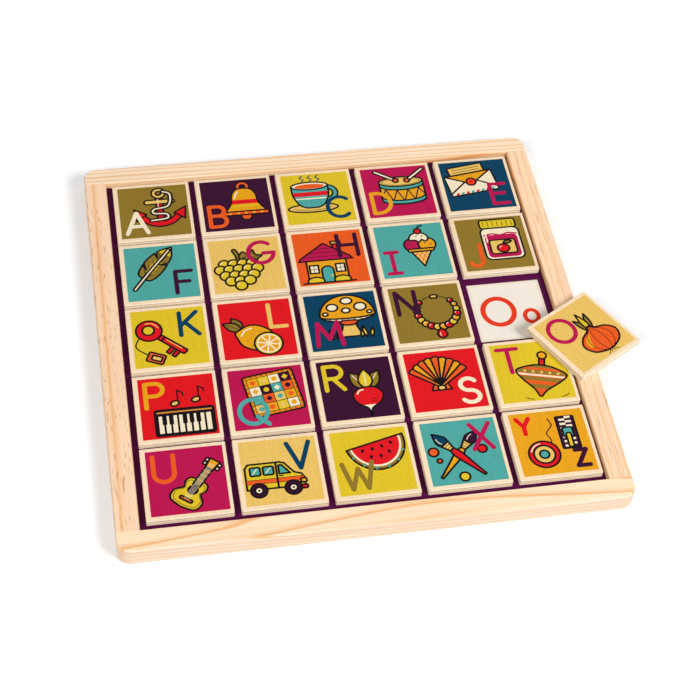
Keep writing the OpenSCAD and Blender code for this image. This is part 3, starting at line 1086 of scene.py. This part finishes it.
class Shader(Nodes):
    """The shading nodes of a world or a material."""
    family = "ShaderNode"

    def here(self):
        """Object coordinates."""
        return self.add("TexCoord", {}, "Object")

    def place(self, vector, scale=(1, 1, 1), turn=0.0, shift=(0, 0, 0)):
        """Coordinates that are stretched, turned about the upright and shifted."""
        settings = {"Vector": vector, "Scale": scale, "Rotation": (0, 0, turn), "Location": shift}
        return self.add("Mapping", settings)

    def parts(self, vector):
        """The X, Y and Z of a vector."""
        return self.add("SeparateXYZ", {0: vector}).node.outputs

    def noise(self, vector, scale, detail, turn=0.0):
        """Smooth noise from 0 to 1, so closely set per metre along each axis."""
        placed = self.place(vector, scale, turn)
        return self.add("TexNoise", {"Vector": placed, "Scale": 1.0, "Detail": detail})

    def ramp(self, value, stops):
        """A colour for each value."""
        output = self.add("ValToRGB", {"Fac": value})
        elements = output.node.color_ramp.elements
        while len(elements) < len(stops):
            elements.new(0.5)
        for element, (position, shade) in zip(elements, stops):
            element.position = position
            element.color = shade
        return output

    def mix(self, factor, first, second, kind="MIX"):
        """Two colours mixed."""
        return self.add("Mix", {0: factor, 6: first, 7: second}, 2, data_type="RGBA", blend_type=kind)

    def maths(self, operation, *values):
        """A sum on one, two or three numbers."""
        return self.add("Math", dict(enumerate(values)), operation=operation)


class Surface(Shader):
    """A new material and its shading nodes."""

    def __init__(self, name):
        self.material = bpy.data.materials.new(name)
        self.material.use_nodes = True
        super().__init__(self.material.node_tree)
        self.surface = self.tree.nodes["Principled BSDF"]

    def vary(self, shade, value, low, high, share=1.0):
        """A colour tinted where a value is low and where it is high: a level and a tint for each."""
        return self.mix(share, shade, self.ramp(value, [low, high]), "MULTIPLY")

    def bump(self, height, strength, depth):
        """Relief on the surface."""
        relief = self.add("Bump", {"Height": height, "Strength": strength, "Distance": depth})
        self.feed(self.surface, {"Normal": relief})

    def finish(self, shade, roughness, specular):
        """Sets the surface and gives the material."""
        values = {"Base Color": shade, "Roughness": roughness, "Specular IOR Level": specular}
        self.feed(self.surface, values)
        return self.material


def pine_material(name, wood):
    """Sawn pine: growth rings about a pith beside the rail, fine fibres and, on some rails, resin flecks."""
    grain = GRAIN[name]
    axis = grain["axis"]
    pale = linear(getattr(wood, grain["pale"]))
    shader = Surface("wood_" + name)
    here = shader.here()
    away = tuple(-at for at in grain["pith"])
    turned = shader.place(here, turn=math.radians(grain["slope"]), shift=away)
    angle = shader.maths("MULTIPLY_ADD", shader.parts(here)[axis], math.tau / SWEEP_LENGTH, grain["phase"])
    rise = shader.maths("MULTIPLY", shader.maths("SINE", angle), grain["sweep"])
    swept = shader.add("VectorMath", {0: turned, 1: shader.add("CombineXYZ", {"Z": rise})}, operation="ADD")
    heart = shader.place(swept, lengthwise(axis, RING_STRETCH, 1))
    rings = shader.add(
        "TexWave",
        {"Vector": heart, "Scale": WAVE_PERIOD / grain["ring"], "Distortion": grain["waver"],
         "Detail": 2.0, "Detail Scale": grain["bends"], "Detail Roughness": 0.45},
        wave_type="RINGS", rings_direction=axis, wave_profile="SAW")
    normal = shader.add("TexCoord", {}, "Normal")
    inner = shader.add("VectorMath", {0: normal, 1: grain["inner"]}, "Value", operation="DOT_PRODUCT")
    # Painted shade: the outer face is mixed towards the grey painted shade tone, which darkens it
    outer = shader.maths("MAXIMUM", shader.maths("MULTIPLY", inner, -grain["outer"]), 0.0)
    light = shader.mix(outer, pale, linear(wood.painted_face_shade))
    dark = blend(pale, linear(wood.growth_line), grain["depth"])
    lines = shader.ramp(rings, [(level, grey(tone)) for level, tone in RING_TONES])
    shade = shader.mix(lines, light, dark)
    fibres = shader.noise(here, lengthwise(axis, *FIBRES), detail=3.0)
    shade = shader.vary(shade, fibres, (0.25, (0.95, 0.9, 0.84, 1)), (0.7, grey(1.04)))
    bands = shader.noise(here, lengthwise(axis, *BANDS), detail=1.0)
    shade = shader.vary(shade, bands, (0.3, grey(0.965)), (0.7, grey(1.02)))
    if grain["flecks"]:
        flecks = shader.noise(here, lengthwise(axis, 1 / grain["fleck_length"], FLECKS_ACROSS), detail=0.0)
        bare, full = FLECK_LEVELS
        mask = shader.ramp(flecks, [(bare, grey(0)), (full, grey(grain["flecks"]))])
        shade = shader.mix(mask, shade, linear(wood.pine_fleck))
    # Painted shade: the inner walls are multiplied by the warm painted shade tone
    shade = shader.mix(shader.maths("MAXIMUM", inner, 0.0), shade, linear(wood.painted_wall_shade), "MULTIPLY")
    shader.bump(fibres, strength=0.25, depth=0.00012)
    return shader.finish(shade, roughness=0.55, specular=0.15)


def plywood_material(name, wood, low, high, turn=0.0):
    """Plywood tile: pale outer plies whose fibres run away from the reader, a darker core and glue lines."""
    shader = Surface(name)
    here = shader.here()
    fibres = shader.noise(here, (900, 22, 300), detail=3.0, turn=-turn)
    bands = shader.noise(here, (26, 9, 26), detail=1.0, turn=-turn)
    pores = shader.noise(here, (700, 700, 1500), detail=2.0, turn=-turn)
    wander = shader.noise(here, (45, 45, 0), detail=1.0, turn=-turn)
    level = shader.maths("DIVIDE", shader.maths("SUBTRACT", shader.parts(here)["Z"], low), high - low)
    wavy = shader.maths("ADD", level, shader.maths("MULTIPLY_ADD", wander, GLUE_WANDER, -GLUE_WANDER / 2))
    edge, core, glue = linear(wood.ply_edge), linear(wood.ply_core), linear(wood.ply_glue)
    reach = GLUE_HALF + GLUE_FADE
    stops = []
    for middle, below, above in zip(GLUE_LINES, (edge, core), (core, edge)):
        stops += [(middle - reach, below), (middle - GLUE_HALF, glue)]
        stops += [(middle + GLUE_HALF, glue), (middle + reach, above)]
    bare = shader.ramp(level, [(FACE_LEVEL, grey(0)), (FACE_LEVEL + GLUE_FADE, grey(1))])
    shade = shader.mix(bare, shader.ramp(wavy, stops), linear(wood.ply_face))
    shade = shader.vary(shade, fibres, (0.25, grey(0.92)), (0.7, grey(1.03)))
    shade = shader.vary(shade, bands, (0.3, grey(0.95)), (0.7, grey(1.02)))
    shade = shader.vary(shade, pores, (0.3, grey(0.9)), (0.7, grey(1.05)), 0.6)
    shader.bump(fibres, strength=0.2, depth=0.0001)
    return shader.finish(shade, roughness=0.6, specular=0.12)


def board_material(name, base):
    """Plain thin plywood board, with its fibres from left to right."""
    shader = Surface(name)
    here = shader.here()
    fibres = shader.noise(here, (16, 620, 620), detail=4.0)
    clouds = shader.noise(here, (7, 30, 30), detail=2.0)
    shade = shader.vary(linear(base), fibres, (0.3, grey(0.78)), (0.8, grey(1.22)))
    shade = shader.vary(shade, clouds, (0.3, grey(0.88)), (0.7, grey(1.05)))
    shader.bump(fibres, strength=0.3, depth=0.0001)
    return shader.finish(shade, roughness=0.65, specular=0.25)


def ink_material(name, shown):
    """Printing ink on wood: the fibres of the wood show a little through it."""
    shader = Surface(name)
    here = shader.add("UVMap", {}, uv_map="fibres")
    streaks = shader.noise(here, (620, 45, 1), detail=4.0)
    pores = shader.noise(here, (1300, 800, 1), detail=1.0)
    shade = shader.vary(linear(shown), streaks, (0.25, grey(0.94)), (0.75, grey(1.05)))
    shade = shader.vary(shade, pores, (0.3, grey(0.9)), (0.7, grey(1.08)))
    shader.bump(streaks, strength=0.12, depth=0.00008)
    return shader.finish(shade, roughness=0.5, specular=0.06)


def paper_material(name, shown, rim=None):
    """Ink on the paper sheet: nearly even, and a little darker along the edge of a place with a rim."""
    shader = Surface(name)
    here = shader.here()
    mottle = shader.noise(here, (420, 420, 420), detail=2.0)
    shade = shader.vary(linear(shown), mottle, (0.3, grey(0.98)), (0.7, grey(1.01)))
    if rim:
        half, shift = rim
        printed = shader.place(here, shift=(-shift, 0, 0))
        far, near = (PLACE_PITCH / 2,) * 3, (-PLACE_PITCH / 2,) * 3
        cell = shader.add("VectorMath", {0: printed, 1: far, 2: near}, operation="WRAP")
        away = shader.parts(shader.add("VectorMath", {0: cell}, operation="ABSOLUTE"))
        farthest = shader.maths("MAXIMUM", away["X"], away["Y"])
        inside = shader.maths("DIVIDE", shader.maths("SUBTRACT", half, farthest), RIM_WIDTH)
        shade = shader.mix(1.0, shade, shader.ramp(inside, RIM_TONES), "MULTIPLY")
    return shader.finish(shade, roughness=0.55, specular=0.06)


def paint(node_name, material):
    """Gives a CAD node its material."""
    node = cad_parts[node_name]
    if not node.material_slots:
        node.data.materials.append(material)
    for slot in node.material_slots:
        slot.material = material


# Floor places, made with Geometry Nodes

# Points on each round corner of a place, and the distance in metres below which its points are merged
CORNER_POINTS = 4
MERGE = 1e-6


def place_tree():
    """Node tree for a square grid of thin pale squares."""
    tree = bpy.data.node_groups.new("Floor places", "GeometryNodeTree")
    tree.interface.new_socket("Count", in_out="INPUT", socket_type="NodeSocketInt")
    for name in ("Pitch", "Side", "Corner radius", "Thickness", "Shift", "Height"):
        tree.interface.new_socket(name, in_out="INPUT", socket_type="NodeSocketFloat")
    tree.interface.new_socket("Material", in_out="INPUT", socket_type="NodeSocketMaterial")
    tree.interface.new_socket("Geometry", in_out="OUTPUT", socket_type="NodeSocketGeometry")
    add = Nodes(tree).add
    sizes = tree.nodes.new("NodeGroupInput").outputs
    gaps = add("ShaderNodeMath", {0: sizes["Count"], 1: 1.0}, operation="SUBTRACT")
    span = add("ShaderNodeMath", {0: gaps, 1: sizes["Pitch"]}, operation="MULTIPLY")
    count, side = sizes["Count"], sizes["Side"]
    grid = add("GeometryNodeMeshGrid", {
        "Size X": span, "Size Y": span, "Vertices X": count, "Vertices Y": count})
    square = add("GeometryNodeCurvePrimitiveQuadrilateral", {"Width": side, "Height": side})
    eased = add("GeometryNodeFilletCurve", {
        "Curve": square, "Count": CORNER_POINTS, "Radius": sizes["Corner radius"]}, mode="POLY")
    face = add("GeometryNodeFillCurve", {"Curve": eased}, mode="NGONS")
    upper = add("GeometryNodeExtrudeMesh", {
        "Mesh": face, "Offset Scale": sizes["Thickness"], "Individual": False})
    lower = add("GeometryNodeFlipFaces", {"Mesh": face})
    joined = add("GeometryNodeJoinGeometry", {"Geometry": upper})
    tree.links.new(lower, joined.node.inputs["Geometry"])
    slab = add("GeometryNodeMergeByDistance", {"Geometry": joined, "Distance": MERGE})
    copies = add("GeometryNodeInstanceOnPoints", {"Points": grid, "Instance": slab})
    where = add("ShaderNodeCombineXYZ", {"X": sizes["Shift"], "Z": sizes["Height"]})
    laid = add("GeometryNodeTransform", {"Geometry": copies, "Translation": where})
    plain = add("GeometryNodeRealizeInstances", {"Geometry": laid})
    done = add("GeometryNodeSetMaterial", {"Geometry": plain, "Material": sizes["Material"]})
    tree.links.new(done, tree.nodes.new("NodeGroupOutput").inputs["Geometry"])
    return tree


def make_places(sizes, material):
    """The pale squares as one plain mesh."""
    piece = bpy.data.objects.new("floor_places", bpy.data.meshes.new("floor_places"))
    bpy.context.scene.collection.objects.link(piece)
    modifier = piece.modifiers.new("Places", "NODES")
    modifier.node_group = place_tree()
    values = {"Count": COUNT, "Pitch": PLACE_PITCH, "Side": sizes.place_side,
              "Corner radius": sizes.place_radius, "Thickness": sizes.place_thick,
              "Shift": sizes.place_shift, "Height": SHEET_TOP, "Material": material}
    for socket in modifier.node_group.interface.items_tree:
        if socket.in_out == "INPUT":
            modifier[socket.identifier] = values[socket.name]
    shown = piece.evaluated_get(bpy.context.evaluated_depsgraph_get())
    piece.data = bpy.data.meshes.new_from_object(shown)
    piece.modifiers.clear()
    return piece


# Operators

class PUZZLE_OT_finish_frame(bpy.types.Operator):
    """Gives the rails, the board and the dowels their wood"""
    bl_idname = "puzzle.finish_frame"
    bl_label = "Finish frame"

    def execute(self, context):
        wood = context.scene.puzzle_wood
        for name in GRAIN:
            paint(name, pine_material(name, wood))
        paint("base_board", board_material("board", wood.board))
        return {"FINISHED"}


class PUZZLE_OT_finish_tiles(bpy.types.Operator):
    """Gives the tiles their plywood"""
    bl_idname = "puzzle.finish_tiles"
    bl_label = "Finish tiles"

    def execute(self, context):
        wood = context.scene.puzzle_wood
        turn = context.scene.puzzle_print.loose_turn
        seated = plywood_material("plywood", wood, TILE_LOW, TILE_HIGH)
        loose = plywood_material("plywood_loose", wood, LOOSE_LOW, LOOSE_HIGH, turn)
        for letter in LETTERS:
            paint("tile_" + letter, loose if letter == LOOSE else seated)
        return {"FINISHED"}


# Letters on the floor: a small letter's height and stroke as shares of its capital's, the room between the
# two in millimetres, and how high in the pale ink their own ink starts, as a share of its thickness
SMALL_HEIGHT = 0.74
SMALL_STROKE = 0.82
PAIR_ROOM = 2.2
LETTER_START = 0.8
# A place with two pairs of letters: their size as a share of the others', how far behind the middle the
# first pair lies, and how far in front of the first pair the second one lies, both in millimetres
SHARED_PLACE = 0.6
FIRST_PAIR = 11
PAIR_STEP = 21


class PUZZLE_OT_print_floor(bpy.types.Operator):
    """Prints the floor: a dark lattice, pale places and a pair of letters in each place"""
    bl_idname = "puzzle.print_floor"
    bl_label = "Print floor"

    def execute(self, context):
        sizes = context.scene.puzzle_print
        inks = context.scene.puzzle_inks
        paint("printed_sheet", paper_material("lattice_ink", inks.lattice))
        rim = (sizes.place_side / 2, sizes.place_shift)
        places = make_places(sizes, paper_material("place_ink", inks.place, rim))
        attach(places, "tray")
        art = Artwork(sizes.outline / MM)
        for number, letters in enumerate(LETTERS):
            column, row = number % COUNT - COUNT // 2, COUNT // 2 - number // COUNT
            x = column * PLACE_PITCH + sizes.place_shift
            self.draw_pairs(art, letters, x / MM, row * PLACE_PITCH / MM, sizes)
        lift = Matrix.Translation((0, 0, SHEET_TOP + LETTER_START * sizes.place_thick))
        marks = art.build("floor_letters", lift, {"scarlet": paper_material("letter_ink", inks.scarlet)})
        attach(marks, "tray")
        return {"FINISHED"}

    def draw_pairs(self, art, letters, x, y, sizes):
        """A capital and its small letter for each letter of a place."""
        alone = len(letters) == 1
        share = 1 if alone else SHARED_PLACE
        height = sizes.capital / MM * share
        stroke = sizes.floor_stroke / MM * share
        small = height * SMALL_HEIGHT
        thin = stroke * SMALL_STROKE
        gap = stroke + PAIR_ROOM * share
        for i, letter in enumerate(letters):
            foot = y - height / 2 + (0 if alone else FIRST_PAIR - PAIR_STEP * i)
            wide = glyph(letter)[1] * height
            whole = wide + gap + glyph(letter.lower())[1] * small
            art.layer = 0
            draw_letter(art, letter, x - whole / 2, foot, height, "scarlet", stroke)
            draw_letter(art, letter.lower(), x - whole / 2 + wide + gap, foot, small, "scarlet", thin)


# Corner radius of a tile's print, in millimetres
PRINT_CORNER = 0.4
# A tile with two letters: their size as a share of the others', and the second one's ink
SHARED_TILE = 0.62
SECOND_INK = "plum"


class PUZZLE_OT_print_tiles(bpy.types.Operator):
    """Prints each tile: a coloured square, a picture and a letter"""
    bl_idname = "puzzle.print_tiles"
    bl_label = "Print tiles"

    def execute(self, context):
        sizes = context.scene.puzzle_print
        inks = context.scene.puzzle_inks
        materials = {}
        for letter in LETTERS:
            art = self.draw_tile(letter, sizes)
            for ink in art.inks:
                if ink not in materials:
                    materials[ink] = ink_material("ink_" + ink, getattr(inks, ink))
            low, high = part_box("tile_" + letter)
            middle = (low + high) / 2
            turn = sizes.loose_turn if letter == LOOSE else 0.0
            place = Matrix.Translation((middle.x, middle.y, high.z)) @ Matrix.Rotation(turn, 4, "Z")
            place @= Matrix.Translation((sizes.shift, 0, 0))
            piece = art.build("print_" + letter, place, materials)
            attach(piece, "tile_" + letter)
        return {"FINISHED"}

    def draw_tile(self, letters, sizes):
        """All the printing of one tile."""
        ground, ink, corner, picture = TILE_ART[letters]
        half = sizes.side / 2 / MM
        inset = half - sizes.inset / MM
        height = sizes.letter / MM
        stroke = sizes.stroke / MM
        art = Artwork(sizes.outline / MM)
        art.fill(box(-half, -half, half, half, PRINT_CORNER), ground)
        if len(letters) == 2:
            self.draw_picture(art, picture, (0, 0), sizes)
            height *= SHARED_TILE
            draw_letter(art, letters[0], -inset, inset - height, height, ink, stroke)
            wide = glyph(letters[1])[1] * height
            draw_letter(art, letters[1], inset - wide, -inset, height, SECOND_INK, stroke)
            return art
        self.draw_picture(art, picture, corner, sizes)
        wide = glyph(letters)[1] * height
        x = -inset if corner[0] < 0 else inset - wide
        y = -inset if corner[1] < 0 else inset - height
        draw_letter(art, letters, x, y, height, ink, stroke)
        return art

    def draw_picture(self, art, picture, corner, sizes):
        """A picture of the set size, standing away from its letter's corner."""
        trial = Artwork(art.outline_mm)
        picture(trial)
        spans = [(min(axis), max(axis)) for axis in list(zip(*trial.corners))[:2]]
        scale = sizes.picture / MM / max(high - low for low, high in spans)
        middle = []
        for (low, high), side in zip(spans, corner):
            room = (sizes.side - 2 * sizes.margin) / MM - scale * (high - low)
            middle.append(-side * min(sizes.offset / MM, room / 2) - scale * (low + high) / 2)
        art.set_place(*middle, 0, scale)
        picture(art)
        art.set_place()


# Where each lamp stands, and the side of its square
LAMPS = {
    "left": ((-1.35, -1.43, 1.65), 0.8),
    "right": ((1.35, -1.43, 1.65), 0.9),
    "back": ((0.4, 0.6, 1.1), 0.8),
}
# The floor: half its side, how far it lies under the tray, its grey, and the distances from the middle
# between which it turns white
FLOOR_REACH = 4.0
FLOOR_DROP = 0.0003
FLOOR_GREY = 0.82
WHITE_FROM = 0.22
WHITE_AT = 0.5


class PUZZLE_OT_set_stage(bpy.types.Operator):
    """Sets the floor, the light and the camera"""
    bl_idname = "puzzle.set_stage"
    bl_label = "Set stage"

    def execute(self, context):
        stage = context.scene.puzzle_stage
        self.lay_floor(stage)
        self.light(stage)
        lens = bpy.data.cameras.new("camera")
        lens.lens = stage.camera_lens
        lens.sensor_width = SENSOR_MM
        camera = bpy.data.objects.new("camera", lens)
        camera.location = stage.camera_place
        camera.rotation_euler = Euler(stage.camera_turn)
        context.scene.collection.objects.link(camera)
        context.scene.camera = camera
        context.scene.view_settings.view_transform = "Standard"
        return {"FINISHED"}

    def seen(self, shader):
        """1 where the camera sees a surface, straight, mirrored or through glass, and 0 for other light."""
        paths = shader.add("LightPath", {}).node.outputs
        seen = shader.maths("MAXIMUM", paths["Is Camera Ray"], paths["Is Glossy Ray"])
        return shader.maths("MAXIMUM", seen, paths["Is Transmission Ray"])

    def lay_floor(self, stage):
        """A wide pale floor just under the tray, which turns white farther away."""
        mesh = bpy.data.meshes.new("floor")
        square = box(-FLOOR_REACH, -FLOOR_REACH, FLOOR_REACH, FLOOR_REACH)
        mesh.from_pydata([(x, y, FRAME_LOW - FLOOR_DROP) for x, y in square], [], [range(4)])
        shader = Surface("floor_white")
        away = shader.add("VectorMath", {0: shader.here()}, "Value", operation="LENGTH")
        lift = shader.add("MapRange", {"Value": away, "From Min": WHITE_FROM, "From Max": WHITE_AT,
                                       "To Min": stage.floor_lift, "To Max": 1.0})
        glow = shader.maths("MULTIPLY", self.seen(shader), lift)
        shader.feed(shader.surface, {"Emission Color": grey(1.0), "Emission Strength": glow})
        mesh.materials.append(shader.finish(grey(FLOOR_GREY), roughness=0.9, specular=0.0))
        floor = bpy.data.objects.new("floor", mesh)
        bpy.context.scene.collection.objects.link(floor)

    def light(self, stage):
        """Three large soft lamps, and light from all round."""
        for side, (at, size) in LAMPS.items():
            lamp = bpy.data.lights.new(side + "_lamp", "AREA")
            lamp.energy = getattr(stage, side + "_power")
            lamp.shape = "SQUARE"
            lamp.size = size
            holder = bpy.data.objects.new(lamp.name, lamp)
            holder.location = at
            holder.rotation_euler = (-Vector(at)).to_track_quat("-Z", "Y").to_euler()
            bpy.context.scene.collection.objects.link(holder)
        world = bpy.data.worlds.new("studio")
        bpy.context.scene.world = world
        world.use_nodes = True
        sky = Shader(world.node_tree)
        room = world.node_tree.nodes["Background"]
        sky.feed(room, {"Color": grey(1.0), "Strength": stage.ambient})
        white = sky.add("Background", {"Color": grey(1.0), "Strength": 1.0})
        both = sky.add("MixShader", {0: self.seen(sky), 1: room.outputs[0], 2: white})
        world.node_tree.links.new(both, world.node_tree.nodes["World Output"].inputs["Surface"])


class PUZZLE_PT_sidebar(bpy.types.Panel):
    """Steps and settings of the puzzle"""
    bl_idname = "PUZZLE_PT_sidebar"
    bl_label = "Alphabet puzzle"
    bl_space_type = "VIEW_3D"
    bl_region_type = "UI"
    bl_category = "Puzzle"

    def draw(self, context):
        for operator in OPERATORS:
            self.layout.operator(operator.bl_idname)
        for name, group in GROUPS.items():
            settings = self.layout.box()
            for setting in group.__annotations__:
                settings.prop(getattr(context.scene, name), setting)


GROUPS = {
    "puzzle_wood": PuzzleWood,
    "puzzle_inks": PuzzleInks,
    "puzzle_print": PuzzlePrint,
    "puzzle_stage": PuzzleStage,
}
OPERATORS = (
    PUZZLE_OT_finish_frame,
    PUZZLE_OT_finish_tiles,
    PUZZLE_OT_print_floor,
    PUZZLE_OT_print_tiles,
    PUZZLE_OT_set_stage,
)


def register():
    """Adds the settings, the steps and the panel to Blender."""
    for item in (*GROUPS.values(), *OPERATORS, PUZZLE_PT_sidebar):
        bpy.utils.register_class(item)
    for name, group in GROUPS.items():
        setattr(bpy.types.Scene, name, bpy.props.PointerProperty(type=group))


def unregister():
    """Takes them out again."""
    for name in GROUPS:
        delattr(bpy.types.Scene, name)
    for item in (PUZZLE_PT_sidebar, *reversed(OPERATORS), *reversed(GROUPS.values())):
        bpy.utils.unregister_class(item)


def main():
    """Dresses the frame."""
    register()
    bpy.ops.puzzle.finish_frame()
    bpy.ops.puzzle.finish_tiles()
    bpy.ops.puzzle.print_floor()
    bpy.ops.puzzle.print_tiles()
    bpy.ops.puzzle.set_stage()


if __name__ == "__main__":
    main()
